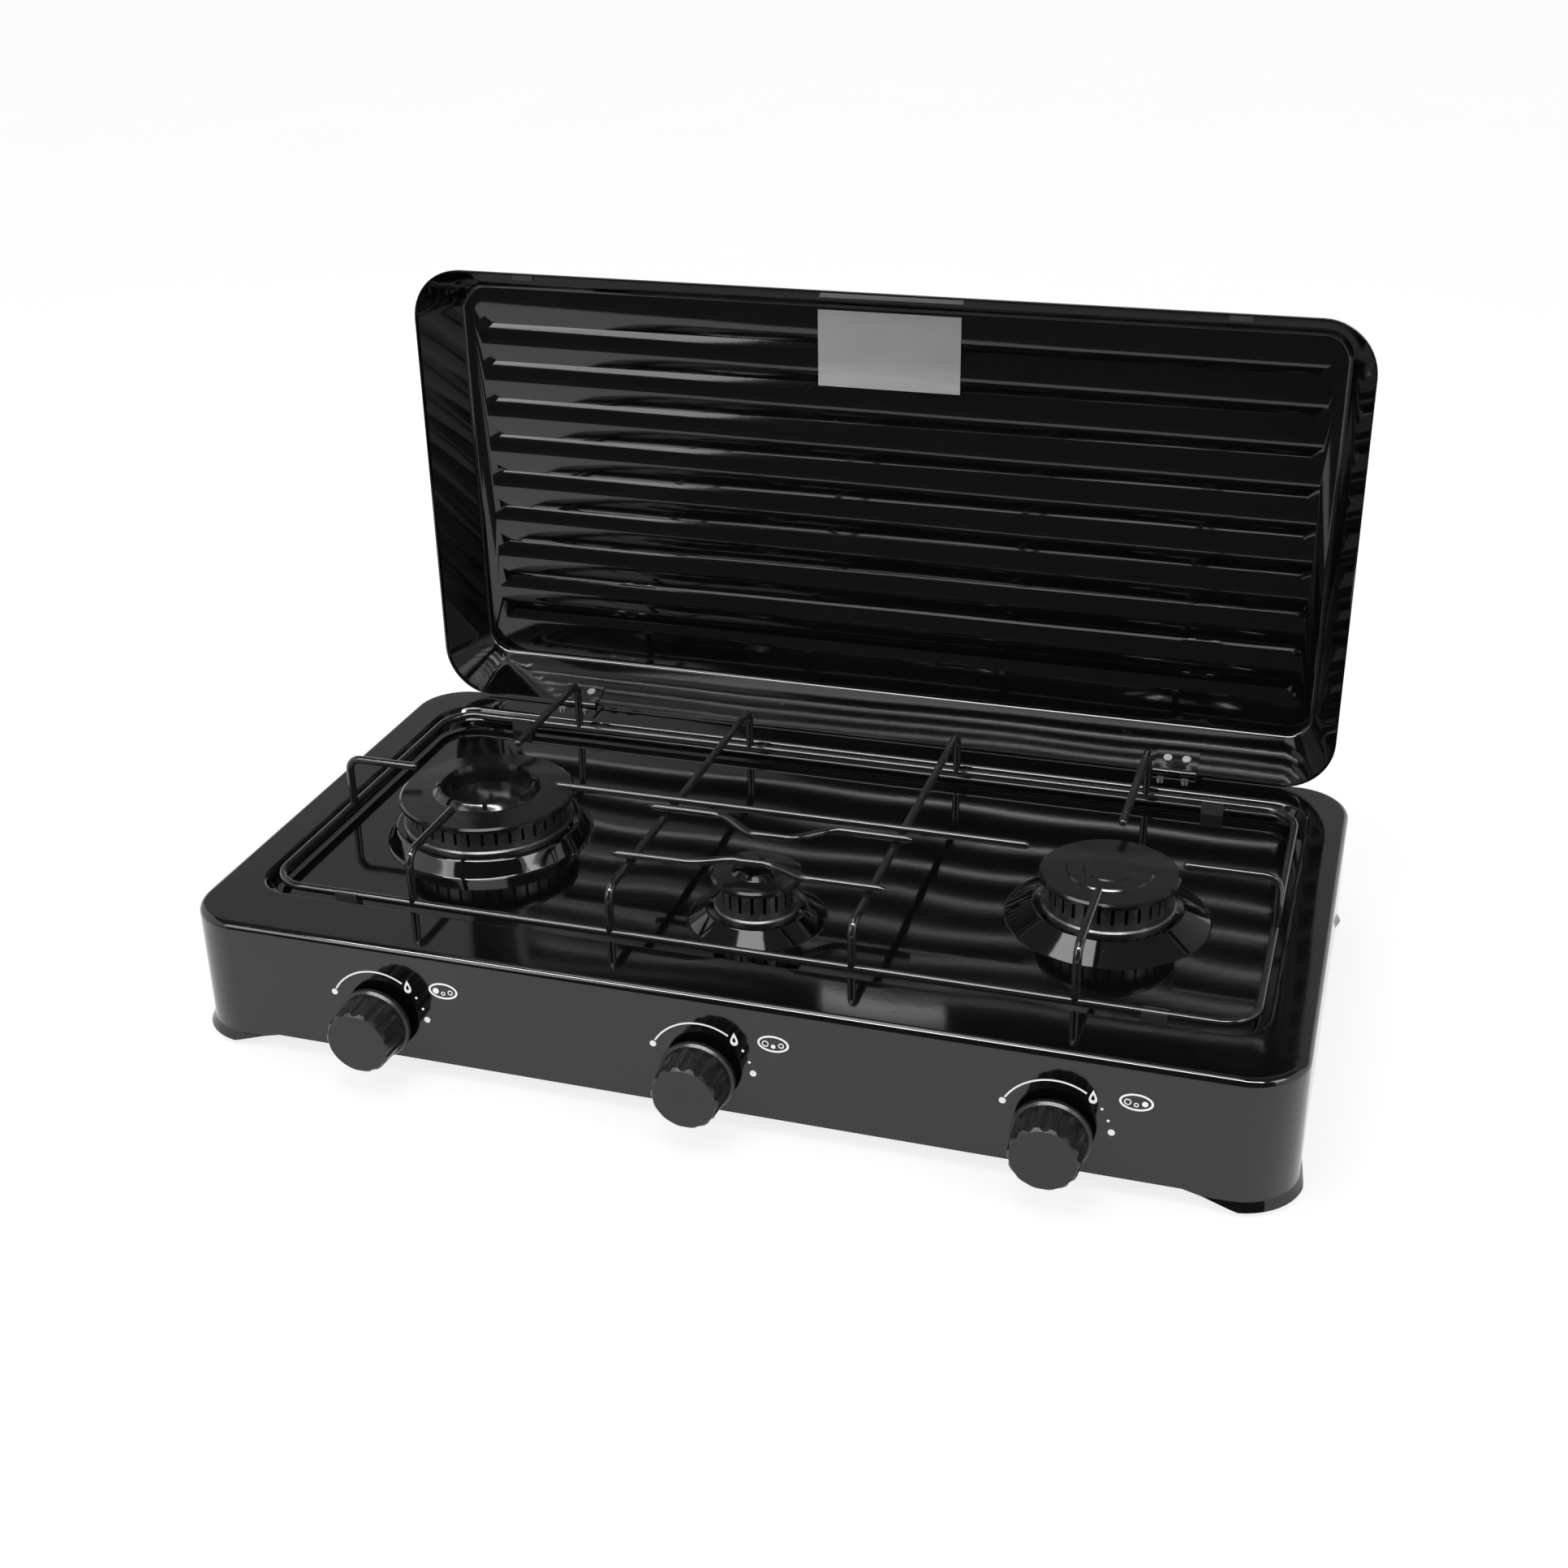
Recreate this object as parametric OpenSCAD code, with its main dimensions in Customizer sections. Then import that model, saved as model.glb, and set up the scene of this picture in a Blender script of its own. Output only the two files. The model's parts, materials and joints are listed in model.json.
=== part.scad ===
// Three burner gas hob with a hinged lid, drawn with the lid open.
// Millimetres. X runs to the right, Y to the back, Z up, and the table is at Z = 0.

/* [Body] */
// Width of the body
body_w = 648; // [620:1:680]
// Depth of the body
body_d = 350; // [340:1:380]
// Height of the top plate above the table
body_h = 82; // [80:0.5:95]
// Corner radius of the body seen from above
corner_r = 34; // [30:1:40]
// Radius of the top edge
edge_r = 4.5; // [4:0.5:8]
// Thickness of the enamelled sheet
sheet = 1; // [0.8:0.1:1.2]
// Height of the wall above the table between the feet
wall_gap = 9.5; // [8.5:0.5:12]
// Length of a corner foot along the wall
foot_len = 20; // [15:1:28]
// Length over which the wall edge rises from foot to gap
foot_ramp = 38; // [30:1:45]
// How far the lip of a foot stands out from the wall
lip_out = 3; // [2:0.5:4]

/* [Recess] */
// Width of the rim at the sides of the recess
rim_side = 22; // [20:0.5:24]
// Width of the rim in front of the recess
rim_front = 40; // [37:0.5:40.5]
// Width of the rim behind the recess
rim_back = 26; // [25:0.5:27]
// Corner radius of the recess
recess_r = 26; // [22:1:30]
// Depth of the recess
recess_depth = 8; // [7:0.5:9]

/* [Burners] */
// Distance of the outer burners from the side walls
burner_in = 127; // [122:1:132]
// Position of the outer burners from front to back
burner_y = -14; // [-16:1:-4]
// Position of the middle burner from front to back
small_y = -70; // [-74:1:-66]
// Cap radius of the large burner
large_cap_r = 55; // [50:0.5:56]
// Cap radius of the small burner
small_cap_r = 27; // [25:0.5:29]
// Cap radius of the medium burner
medium_cap_r = 41; // [37:0.5:42]
// Height of the cap edges above the recess floor
cap_level = 30; // [28:0.5:31]

/* [Trivet] */
// Diameter of the trivet wire
wire_d = 5; // [4:0.5:6]
// Distance of the ring wire from the sides of the recess
ring_side = 9; // [8.5:0.5:11]
// Distance of the ring wire from the front and back of the recess
ring_end = 13; // [12.5:0.5:15]
// Corner radius of the ring
ring_r = 22; // [18:1:26]
// Height of the pan support above the ring
support_h = 33; // [31:0.5:34]
// Position of each lengthways rail from the middle
rail_x = 72; // [66:1:78]
// Bend radius of the wires
bend_r = 8; // [6:0.5:10]

/* [Lid] */
// Width of the lid over its rim
lid_w = 622; // [616:1:630]
// Length of the lid from hinge side to front
lid_len = 304; // [303:0.5:308]
// Depth of the lid
lid_depth = 42; // [40:0.5:44]
// How far the sides of the lid slope in
lid_slope = 17; // [15:0.5:18]
// Angle of the open lid
lid_open = 90; // [88:0.5:95]
// Number of stamped grooves
groove_count = 9; // [7:1:10]
// Distance from groove to groove
groove_pitch = 26.1; // [24:0.1:27]
// Width of a groove
groove_w = 16; // [14:0.5:20]
// Depth of a groove
groove_h = 3; // [2:0.1:3.5]

/* [Knobs] */
// Height of the knobs above the table
knob_z = 34; // [33.5:0.5:38]
// Radius of the knob skirt
skirt_r = 22; // [20.5:0.5:24]
// Distance from the front panel to the knob face
knob_reach = 29; // [27:0.5:32]
// Travel of a knob when it is pressed
knob_push = 3.5; // [2.5:0.25:4]
// Number of flutes around the grip
flute_count = 14; // [8:1:16]

/* [Fits] */
// Radial clearance of pins and shafts
run_gap = 0.05; // [0.03:0.01:0.08]
// Gap between seated pieces
seat_gap = 0.03; // [0.02:0.01:0.05]
// Radial clearance of loose pieces
loose_gap = 0.3; // [0.25:0.05:0.4]

/* [Hidden] */

enamel = "#1c1d1f";
rubber = "#151515";
alloy = "#8f9296";
brass = "#b5964f";
steel = "#a9acb0";
plastic = "#1a1a1b";

arc_steps = 6;
round_fn = 96;
small_fn = 48;
cut = 1;
join = 3;
fillet_r = 3;

// Wall
lip_z = 2;
lip_h = 5;
rim_in = edge_r + join;
wall_path = [[-lip_out, lip_z], [0, lip_z + lip_h], [0, body_h], [rim_in, body_h]];
wall_round = [0, 2, edge_r, 0];
pad_in = 19;
pad_r = 10;
pad_neck_r = 4;
pad_top = 5;
pad_head_h = 3;

// Recess
floor_z = body_h - recess_depth;
recess_w = body_w - 2 * rim_side;
recess_front = rim_front - body_d / 2;
recess_back = body_d / 2 - rim_back;
recess_y = (recess_front + recess_back) / 2;
plate_lap = 1;
plate_in = edge_r + plate_lap;
recess_d = recess_back - recess_front;
ramp_start = 2;
ramp_run = 6;
ramp_end = ramp_start + ramp_run;
recess_path = [[-join, body_h], [ramp_start, body_h], [ramp_end, floor_z], [ramp_end + join, floor_z]];
recess_round = [0, fillet_r, fillet_r, 0];

// Burners: left, middle, right
burner_x = body_w / 2 - burner_in;
burner_at = [[-burner_x, burner_y], [0, small_y], [burner_x, burner_y]];
cap_rs = [large_cap_r, small_cap_r, medium_cap_r];
collar_h = [11, 8, 9];
collar_run = [6, 11, 16];
collar_out = 3;
collar_top_r = [for (r = cap_rs) r + collar_out];
collar_z = [for (h = collar_h) floor_z + h];
crown_overhang = 6;
crown_wall = 4;
crown_step = 2.5;
crown_step_in = 1.5;
crown_spigot = 8;
crown_slots = [36, 18, 28];
slot_w = 2;
cap_edge = 3;
cap_wall = 2;
cap_spigot = 2.5;
cap_base = floor_z + cap_level - cap_edge;
cup_wall = 2.5;
cup_depth = 22;
cup_flange = 3;
cup_flange_out = 5.2;
throat_r = 10;
throat_bore = 8;
mouth_in = 57;
mouth_y = mouth_in - body_d / 2;
mouth_r = 14;
mouth_len = 12;
burner_screw_in = 3;
screw_r = 1.5;
screw_head_r = 2.6;
screw_head_h = 2;
notch_w = 6;
notch_in = 5;
notch_len = 9;
cap_bevel = 1;
cap_bevel_in = 1.5;
land_w = 2;
land_foot = 3;
land_shoulder = 1;
land_slope = 1.5;
well_deep = 4;
well_sheet = 2;
well_slope = 2.5;
large_land_r = large_cap_r * 0.56;
large_land_h = 5;
small_land_r = small_cap_r * 0.44;
small_land_h = 3;
disc_heights = [0.4, 1.2, 1.5, 2.2, 2.4];
notch_counts = [8, 6];

function crown_r(i) = cap_rs[i] - crown_overhang;
function spigot_r(i) = crown_r(i) - 1;
function cup_in(i) = spigot_r(i) + loose_gap;
function cup_out(i) = cup_in(i) + cup_wall;

// Taps and gas rail
wall_in = -body_d / 2 + sheet;
cover_t = 2;
cover_w = 34;
cover_h = 20;
tap_front = wall_in + cover_t;
tap_len = 38;
tap_r = 10;
tap_back = tap_front + tap_len;
ear_x = 12;
ear_r = 4.5;
ear_len = 12;
chamber_r = 7.5;
chamber_len = 14;
plug_front_r = 7;
plug_back_r = 5.5;
plug_len = 20;
plug_y = tap_front + chamber_len;
gas_bore = 2;
rail_drop = 16.5;
rail_r = 6;
rail_bore = 4.5;
rail_in = 25;
rail_y = tap_front + rail_in;
rail_z = knob_z - rail_drop;
rail_end = 22;
rail_left = -burner_x - rail_end;
inlet_in = 50;
rail_right = body_w / 2 - inlet_in;
saddle_r = 9;
saddle_len = 18;
stub_r = 5;
socket_r = 9;
socket_len = 24;
socket_y = body_d / 2 - sheet - seat_gap;
nozzle_r = 6;
nozzle_in = 16;
nozzle_flange = 6;
nozzle_hex = 3;
barb_count = 3;
barb_len = 6.5;
barb_r = 5;
jet_r = 4;
jet_len = 8;
jet_tip_len = 4;
jet_hole = 0.5;
tap_screw_r = 1.8;
tap_screw_head_r = 3.2;
tap_screw_head_h = 1.2;
tap_screw_len = 12;

// Knobs and spindles
knob_gap = 5;
skirt_t = 4;
grip_base_r = skirt_r - 1.8;
grip_face_r = skirt_r - 2.6;
knob_wall = 3;
knob_hollow = 9;
hub_r = 6;
spindle_r = 3;
spindle_hole = 6;
spindle_tip = 5;
collar_stop_r = 5;
collar_stop_t = 2.4;
tail_w = 4;
tail_len = 20;
tail_room = knob_push + 2;
flute_r = 4;
flute_cut = 1.3;

// Hinges and lid
axis_in = 8.5;
axis_up = 2.5;
axis_y = body_d / 2 - axis_in;
axis_z = body_h + axis_up;
hinge_in = 100;
hinge_x = lid_w / 2 - hinge_in;
hinge_w = 28;
knuckle_w = hinge_w / 3;
knuckle_gap = 0.2;
knuckle_r = 2.3;
pin_r = 1.2;
leaf_t = 1;
leaf_len = 15.5;
leaf_gap = 0.4;
hinge_screw_in = 9.5;
hinge_screw_y = axis_y - hinge_screw_in;
hinge_screw_x = 8;
stop_w = 4;
lid_past = axis_up - leaf_t - 2 * seat_gap;
lid_r = 34;
hem = 3;
lid_round_r = 5;
lid_path = [[0, 0], [0, hem], [lid_slope, lid_depth], [lid_slope + lid_round_r + join, lid_depth]];
lid_round = [0, 2, lid_round_r, 0];
lid_inner = offset_path(lid_path, -sheet);
lid_mid = lid_past - lid_len / 2;
strap_dir = unit(lid_inner[2] - lid_inner[1]);
strap_len = 17;
strap_up = 0.6;
strap_bar = 0.6;
strap_start = lid_inner[1] + [seat_gap, 0] + strap_dir * strap_up;
rivet_along = 10;
rivet_at = lid_inner[1] + strap_dir * rivet_along;
rivet_r = 1.5;
rivet_head_r = 2.8;
rivet_head_h = 1;
rivet_x = 2.2 * rivet_head_r;
first_groove = 49;
groove_end = 28;
groove_half = lid_w / 2 - groove_end;
groove_rise = sheet * norm([groove_w / 2, groove_h]) * 2 / groove_w;
plate_w = 95;
plate_h = 50;
plate_t = 0.6;
plate_x = 5;
plate_at = 256;
buffer_x = 230;
buffer_w = 14;
buffer_t = 2.5;
buffer_up = 2;
buffer_drop = axis_up - seat_gap;

// Trivet
wire_r = wire_d / 2;
ring_z = body_h - 1;
ring_w = recess_w - 2 * ring_side;
ring_front = recess_front + ring_end;
ring_back = recess_back - ring_end;
ring_y = (ring_front + ring_back) / 2;
ring_d = ring_back - ring_front;
top_z = ring_z + support_h;
rail_top_z = top_z - wire_d - seat_gap;
cross_in = 50;
cross_half = burner_x - cross_in;
bar_past = 10;
bar_half = rail_x + bar_past;
rear_side_y = -26;
rear_mid_y = -44;
front_side_y = -88;
front_mid_y = -78;
bar_flat = 9;
bar_run = 30;
bar_parts = 48;
bar_sides = 16;
bar_probe = 0.5;
tip_large = 50;
tip_medium = 44;
tfoot_in = 53;
tfoot_x = ring_w / 2 - tfoot_in;
tfoot_w = 14;
tfoot_d = wire_d + 1.8;
tfoot_up = 1.5;

function unit(v) = v / norm(v);
function left_of(v) = [-v[1], v[0]];
function turned(v, a) = [v[0] * cos(a) - v[1] * sin(a), v[0] * sin(a) + v[1] * cos(a)];
function turn_of(a, b, c) = sign((b - a)[0] * (c - b)[1] - (b - a)[1] * (c - b)[0]);
function flipped(p) = [for (i = [len(p) - 1:-1:0]) p[i]];

// Path moved to its left by d, with mitred corners
function offset_path(p, d) = [
    for (i = [0:len(p) - 1])
        let (
            j = max(i, 1),
            k = min(i + 1, len(p) - 1),
            n = left_of(unit(p[j] - p[j - 1])) + left_of(unit(p[k] - p[k - 1]))
        )
        p[i] + n * (2 * d / (n * n))
];

// Points of the arc of radius r that rounds corner b
function corner(a, b, c, r) =
    let (
        s = unit(a - b),
        e = unit(c - b),
        half = acos(s * e) / 2,
        middle = b + unit(s + e) * r / sin(half),
        first = b + s * r / tan(half) - middle,
        sweep = turn_of(a, b, c) * (180 - 2 * half)
    )
    [for (i = [0:arc_steps]) middle + turned(first, sweep * i / arc_steps)];

// Path with rounded corners; d is the offset already given to the path
function rounded(p, r, d) = [
    for (i = [0:len(p) - 1])
        each r[i] == 0 ? [p[i]]
            : corner(p[i - 1], p[i], p[i + 1], r[i] - d * turn_of(p[i - 1], p[i], p[i + 1]))
];

// Outline of a bent sheet: the path and its offset, closed
function strip(p, r, d) = concat(rounded(p, r, 0), flipped(rounded(offset_path(p, d), r, d)));

module rounded_rect(w, d, r) {
    square([w - 2 * r, d], center = true);
    square([w, d - 2 * r], center = true);
    for (x = [-1, 1], y = [-1, 1])
        translate([x * (w / 2 - r), y * (d / 2 - r)])
            circle(r, $fn = round_fn);
}

// Sweeps an outline, drawn as distance inwards and height, around a rounded rectangle
module swept(w, d, r) {
    for (x = [0, 1], y = [0, 1])
        mirror([x, 0, 0])
            mirror([0, y, 0])
                translate([w / 2 - r, d / 2 - r, 0])
                    rotate_extrude(angle = 90, $fn = round_fn)
                        translate([r, 0])
                            mirror([1, 0])
                                children();
    for (x = [0, 1])
        mirror([x, 0, 0])
            translate([w / 2, d / 2 - r, 0])
                rotate([90, 0, 0])
                    linear_extrude(d - 2 * r)
                        mirror([1, 0])
                            children();
    for (y = [0, 1])
        mirror([0, y, 0])
            translate([r - w / 2, d / 2, 0])
                rotate([90, 0, 90])
                    linear_extrude(w - 2 * r)
                        mirror([1, 0])
                            children();
}

module at_burner(i, z) {
    translate([burner_at[i][0], burner_at[i][1], z])
        children();
}

// Places a piece drawn along +Z so that it runs out of the front panel
module at_knob(i, y) {
    translate([burner_at[i][0], y, knob_z])
        rotate([90, 0, 0])
            children();
}

module along_x(x0, x1, y, z, r) {
    translate([x0, y, z])
        rotate([0, 90, 0])
            cylinder(r = r, h = x1 - x0, $fn = small_fn);
}

module along_y(x, y0, y1, z, r) {
    translate([x, y1, z])
        rotate([90, 0, 0])
            cylinder(r = r, h = y1 - y0, $fn = small_fn);
}

module at_corners(x, y) {
    for (i = [-1, 1], j = [-1, 1])
        translate([i * x, j * y, 0])
            children();
}

module foot_gaps() {
    for (side = [0, 1]) {
        length = side == 0 ? body_w : body_d;
        across = side == 0 ? body_d : body_w;
        half = length / 2 - foot_len;
        rotate([90, 0, side * 90])
            translate([0, 0, -across])
                linear_extrude(2 * across)
                    polygon([[-half, 0], [foot_ramp - half, wall_gap], [half - foot_ramp, wall_gap], [half, 0]]);
    }
}

module collar_shape(i) {
    top_r = collar_top_r[i];
    base_r = top_r + collar_run[i];
    path = [[cup_in(i), collar_z[i]], [top_r, collar_z[i]], [base_r, floor_z], [base_r + join, floor_z]];
    at_burner(i, 0)
        rotate_extrude($fn = round_fn)
            polygon(strip(path, recess_round, -sheet));
}

module tap_screw_holes(r, y0, y1) {
    for (i = [0:2], x = [-1, 1])
        along_y(burner_at[i][0] + x * ear_x, y0, y1, knob_z, r);
}

module burner_screw_places(i) {
    for (x = [-1, 1])
        at_burner(i, 0)
            translate([x * (cup_out(i) + burner_screw_in), 0, 0])
                children();
}

module body_shell() {
    color(enamel)
        difference() {
            union() {
                difference() {
                    swept(body_w, body_d, corner_r)
                        polygon(strip(wall_path, wall_round, -sheet));
                    foot_gaps();
                }
                translate([0, 0, body_h - sheet])
                    linear_extrude(sheet)
                        difference() {
                            rounded_rect(body_w - 2 * plate_in, body_d - 2 * plate_in, corner_r - plate_in);
                            translate([0, recess_y])
                                rounded_rect(recess_w + 2 * plate_lap, recess_d + 2 * plate_lap, recess_r + plate_lap);
                        }
                translate([0, recess_y, 0])
                    swept(recess_w, recess_d, recess_r)
                        polygon(strip(recess_path, recess_round, -sheet));
                translate([0, 0, floor_z - sheet])
                    linear_extrude(sheet)
                        difference() {
                            translate([0, recess_y])
                                rounded_rect(recess_w - 2 * ramp_end - 4, recess_d - 2 * ramp_end - 4,
                                    recess_r - ramp_end - 2);
                            for (i = [0:2])
                                translate(burner_at[i])
                                    circle(collar_top_r[i] + collar_run[i] + 2, $fn = round_fn);
                        }
                for (i = [0:2])
                    collar_shape(i);
                translate([0, 0, pad_top])
                    linear_extrude(sheet)
                        intersection() {
                            rounded_rect(body_w - sheet, body_d - sheet, corner_r - sheet / 2);
                            for (x = [-1, 1], y = [-1, 1])
                                translate([x * body_w / 2, y * body_d / 2])
                                    square(2 * corner_r, center = true);
                        }
            }
            at_corners(body_w / 2 - pad_in, body_d / 2 - pad_in)
                cylinder(r = pad_neck_r + run_gap, h = 2 * pad_top, $fn = small_fn);
            for (i = [0:2])
                along_y(burner_at[i][0], -body_d / 2 - cut, wall_in + cut, knob_z, spindle_hole);
            tap_screw_holes(tap_screw_r + run_gap, -body_d / 2 - cut, wall_in + cut);
            along_y(rail_right, body_d / 2 - sheet - cut, body_d / 2 + cut, rail_z, nozzle_r + run_gap);
            for (i = [0:2])
                burner_screw_places(i)
                    translate([0, 0, collar_z[i] - sheet - cut])
                        cylinder(r = screw_r + run_gap, h = sheet + 2 * cut, $fn = small_fn);
            hinge_screw_places()
                translate([0, 0, body_h - sheet - cut])
                    cylinder(r = screw_r + run_gap, h = sheet + 2 * cut, $fn = small_fn);
        }
}

module foot_pads() {
    color(rubber)
        at_corners(body_w / 2 - pad_in, body_d / 2 - pad_in) {
            cylinder(r = pad_r, h = pad_top - seat_gap, $fn = small_fn);
            cylinder(r = pad_neck_r, h = pad_top + sheet + pad_head_h, $fn = small_fn);
            translate([0, 0, pad_top + sheet + seat_gap])
                cylinder(r1 = pad_neck_r + 1.5, r2 = pad_neck_r, h = pad_head_h - seat_gap, $fn = small_fn);
        }
}

module burner_body(i) {
    y = burner_at[i][1];
    top = collar_z[i] - sheet - seat_gap;
    cup_z = top - cup_depth;
    color(alloy)
        difference() {
            union() {
                at_burner(i, top - cup_flange)
                    cylinder(r = cup_out(i) + cup_flange_out, h = cup_flange, $fn = round_fn);
                at_burner(i, cup_z)
                    cylinder(r = cup_out(i), h = cup_depth, $fn = round_fn);
                at_burner(i, knob_z)
                    cylinder(r = throat_r, h = cup_z - knob_z + cut, $fn = small_fn);
                along_y(burner_at[i][0], mouth_y, y + throat_r + cup_wall, knob_z, throat_r);
                translate([burner_at[i][0], mouth_y, knob_z])
                    rotate([-90, 0, 0])
                        cylinder(r1 = mouth_r, r2 = throat_r, h = mouth_len, $fn = small_fn);
            }
            at_burner(i, cup_z + cup_wall)
                cylinder(r = cup_in(i), h = cup_depth, $fn = round_fn);
            at_burner(i, knob_z)
                cylinder(r = throat_bore, h = cup_depth + cup_z, $fn = small_fn);
            along_y(burner_at[i][0], mouth_y - cut, y + throat_bore + cut, knob_z, throat_bore);
            translate([burner_at[i][0], mouth_y - cut, knob_z])
                rotate([-90, 0, 0])
                    cylinder(r1 = mouth_r - 2, r2 = throat_bore, h = mouth_len, $fn = small_fn);
            burner_screw_places(i)
                translate([0, 0, top - cup_flange - cut])
                    cylinder(r = screw_r + run_gap, h = cup_flange + 2 * cut, $fn = small_fn);
        }
}

module burner_crown(i) {
    base = collar_z[i] + seat_gap;
    outer = crown_r(i);
    inner = outer - crown_wall;
    step_r = cap_rs[i] - crown_step_in;
    top = cap_base - seat_gap;
    color(enamel)
        difference() {
            at_burner(i, 0)
                rotate_extrude($fn = round_fn)
                    polygon([
                        [inner, base - crown_spigot], [spigot_r(i), base - crown_spigot], [spigot_r(i), base],
                        [step_r, base], [step_r, base + crown_step - 1], [step_r - 1, base + crown_step],
                        [outer, base + crown_step], [outer, top], [inner, top]
                    ]);
            for (k = [0:crown_slots[i] - 1])
                at_burner(i, base + crown_step + 2)
                    rotate([0, 0, k * 360 / crown_slots[i]])
                        translate([inner - cut, -slot_w / 2, 0])
                            cube([crown_wall + 2 * cut, slot_w, top]);
        }
}

// Underside and locating spigot shared by the caps, from the edge inwards
function cap_under(i) =
    let (spigot = crown_r(i) - crown_wall - loose_gap)
    [
        [spigot - cap_wall, 0], [spigot - cap_wall, -cap_spigot],
        [spigot, -cap_spigot], [spigot, 0],
        [cap_rs[i], 0], [cap_rs[i], cap_edge - cap_bevel], [cap_rs[i] - cap_bevel_in, cap_edge]
    ];

// Cap with a raised ring around a deep middle; w is the radius of the ring
module ring_cap(i, w, rise, notches) {
    inside = w - land_w;
    color(enamel)
        difference() {
            at_burner(i, cap_base)
                rotate_extrude($fn = round_fn)
                    polygon(concat(
                        [[0, -well_deep - well_sheet], [inside, -well_deep - well_sheet], [inside, 0]],
                        cap_under(i),
                        [
                            [w + land_foot, cap_edge + rise * 0.3], [w + land_shoulder, cap_edge + rise * 0.8],
                            [w, cap_edge + rise], [inside, cap_edge + rise], [inside - land_slope, cap_edge],
                            [inside - well_slope, -well_deep], [0, -well_deep]
                        ]
                    ));
            for (k = [0:notches - 1])
                at_burner(i, cap_base + cap_edge + rise * 0.45)
                    rotate([0, 0, (k + 0.5) * 360 / notches])
                        translate([w - notch_in, -notch_w / 4, 0])
                            cube([notch_len, notch_w / 2, rise]);
        }
}

module burner_right_cap() {
    r = cap_rs[2];
    color(enamel)
        at_burner(2, cap_base)
            rotate_extrude($fn = round_fn)
                polygon(concat(
                    [[0, 0]],
                    cap_under(2),
                    [
                        [r * 0.62, cap_edge + disc_heights[0]], [r * 0.6, cap_edge + disc_heights[1]],
                        [r * 0.38, cap_edge + disc_heights[2]], [r * 0.36, cap_edge + disc_heights[3]],
                        [0, cap_edge + disc_heights[4]]
                    ]
                ));
}

module burner_left_body() burner_body(0);
module burner_middle_body() burner_body(1);
module burner_right_body() burner_body(2);
module burner_left_crown() burner_crown(0);
module burner_middle_crown() burner_crown(1);
module burner_right_crown() burner_crown(2);
module burner_left_cap() ring_cap(0, large_land_r, large_land_h, notch_counts[0]);
module burner_middle_cap() ring_cap(1, small_land_r, small_land_h, notch_counts[1]);

module burner_screws() {
    color(steel)
        for (i = [0:2])
            burner_screw_places(i) {
                under = collar_z[i] - sheet - 2 * seat_gap - cup_flange;
                translate([0, 0, under])
                    cylinder(r = screw_r, h = cup_flange + sheet, $fn = small_fn);
                translate([0, 0, under - screw_head_h])
                    cylinder(r = screw_head_r, h = screw_head_h, $fn = small_fn);
            }
}

module gas_rail() {
    color(steel)
        difference() {
            union() {
                along_x(rail_left, rail_right, rail_y, rail_z, rail_r);
                along_y(rail_right, rail_y, socket_y, rail_z, rail_r);
                translate([rail_right, rail_y, rail_z])
                    cylinder(r = rail_r, h = 2 * rail_r, center = true, $fn = small_fn);
                along_y(rail_right, socket_y - socket_len, socket_y, rail_z, socket_r);
            }
            along_x(rail_left + 2, rail_right, rail_y, rail_z, rail_bore);
            along_y(rail_right, rail_y, socket_y - socket_len + 2, rail_z, rail_bore);
            along_y(rail_right, socket_y - socket_len + 1, socket_y + cut, rail_z, nozzle_r + run_gap);
            for (i = [0:2])
                translate([burner_at[i][0], rail_y, rail_z])
                    cylinder(r = gas_bore, h = 2 * rail_r, $fn = small_fn);
        }
}

module inlet_nozzle() {
    out = body_d / 2 + seat_gap;
    color(brass)
        difference() {
            union() {
                along_y(rail_right, socket_y - nozzle_in, out + nozzle_flange, rail_z, nozzle_r);
                translate([rail_right, out, rail_z])
                    rotate([-90, 0, 0])
                        cylinder(r = nozzle_r + nozzle_hex, h = nozzle_flange, $fn = 6);
                for (k = [0:barb_count - 1])
                    translate([rail_right, out + nozzle_flange + k * barb_len, rail_z])
                        rotate([-90, 0, 0])
                            cylinder(r1 = barb_r, r2 = barb_r - 1, h = barb_len, $fn = small_fn);
            }
            along_y(rail_right, 0, body_d, rail_z, gas_bore);
        }
}

module tap(i) {
    x = burner_at[i][0];
    color(brass)
        difference() {
            union() {
                along_y(x, tap_front + seat_gap, tap_back, knob_z, tap_r);
                for (side = [-1, 1])
                    along_y(x + side * ear_x, tap_front + seat_gap, tap_front + ear_len, knob_z, ear_r);
                along_x(x - saddle_len / 2, x + saddle_len / 2, rail_y, rail_z, saddle_r);
                translate([x, rail_y, rail_z])
                    cylinder(r = stub_r, h = rail_drop, $fn = small_fn);
            }
            along_y(x, tap_front - cut, plug_y, knob_z, chamber_r);
            translate([x, plug_y - seat_gap, knob_z])
                rotate([-90, 0, 0])
                    cylinder(r1 = plug_front_r + run_gap, r2 = plug_back_r + run_gap, h = plug_len, $fn = small_fn);
            along_y(x, plug_y, tap_back + cut, knob_z, gas_bore);
            along_x(x - saddle_len, x + saddle_len, rail_y, rail_z, rail_r + run_gap);
            translate([x, rail_y, rail_z])
                cylinder(r = gas_bore, h = rail_drop, $fn = small_fn);
            tap_screw_holes(tap_screw_r + run_gap, tap_front - cut, tap_front + ear_len + cut);
        }
}

module tap_left() tap(0);
module tap_middle() tap(1);
module tap_right() tap(2);

module tap_covers() {
    color(steel)
        difference() {
            for (i = [0:2])
                translate([burner_at[i][0] - cover_w / 2, wall_in + seat_gap, knob_z - cover_h / 2])
                    cube([cover_w, cover_t - seat_gap, cover_h]);
            for (i = [0:2])
                along_y(burner_at[i][0], wall_in - cut, tap_front + cut, knob_z, spindle_r + run_gap);
            tap_screw_holes(tap_screw_r + run_gap, wall_in - cut, tap_front + cut);
        }
}

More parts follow.
